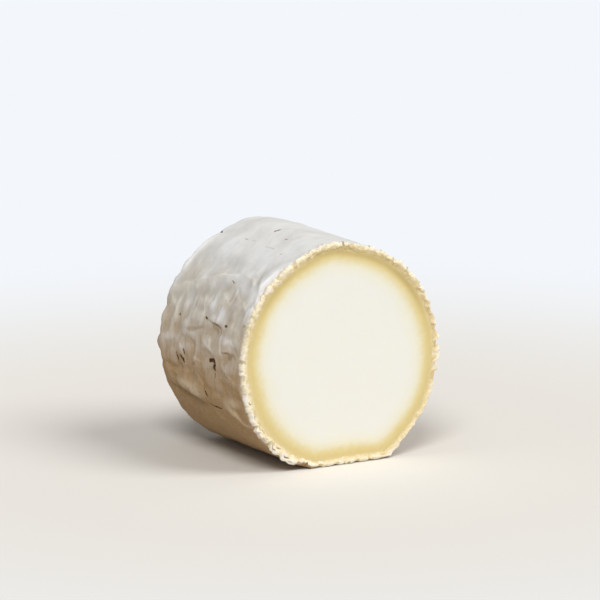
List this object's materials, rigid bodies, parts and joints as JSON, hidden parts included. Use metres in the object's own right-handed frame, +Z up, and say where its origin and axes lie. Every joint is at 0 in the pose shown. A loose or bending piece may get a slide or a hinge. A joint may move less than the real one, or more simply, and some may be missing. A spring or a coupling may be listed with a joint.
{
  "type": "goat cheese log",
  "caption": "Cut piece of a round, white-rinded goat cheese log lying on its side, with a pale cut face, a yellow creamline and a crimped edge of rind.",
  "frame": {"origin": "middle of the bounding box's base, on the surface that the piece rests on", "axes": "+Y along the log's axis, from the cut face to the natural end; the cut face looks along -Y; +Z up"},
  "size_m": [0.0879, 0.068, 0.0857],
  "materials": {
    "rind": "matt, velvety off-white bloom with grey-beige wrinkles",
    "paste": "moist, fine ivory paste with a yellow creamline under the rind"
  },
  "bodies": {
    "root": {"cheese_log": "rind"}
  },
  "joints": []
}
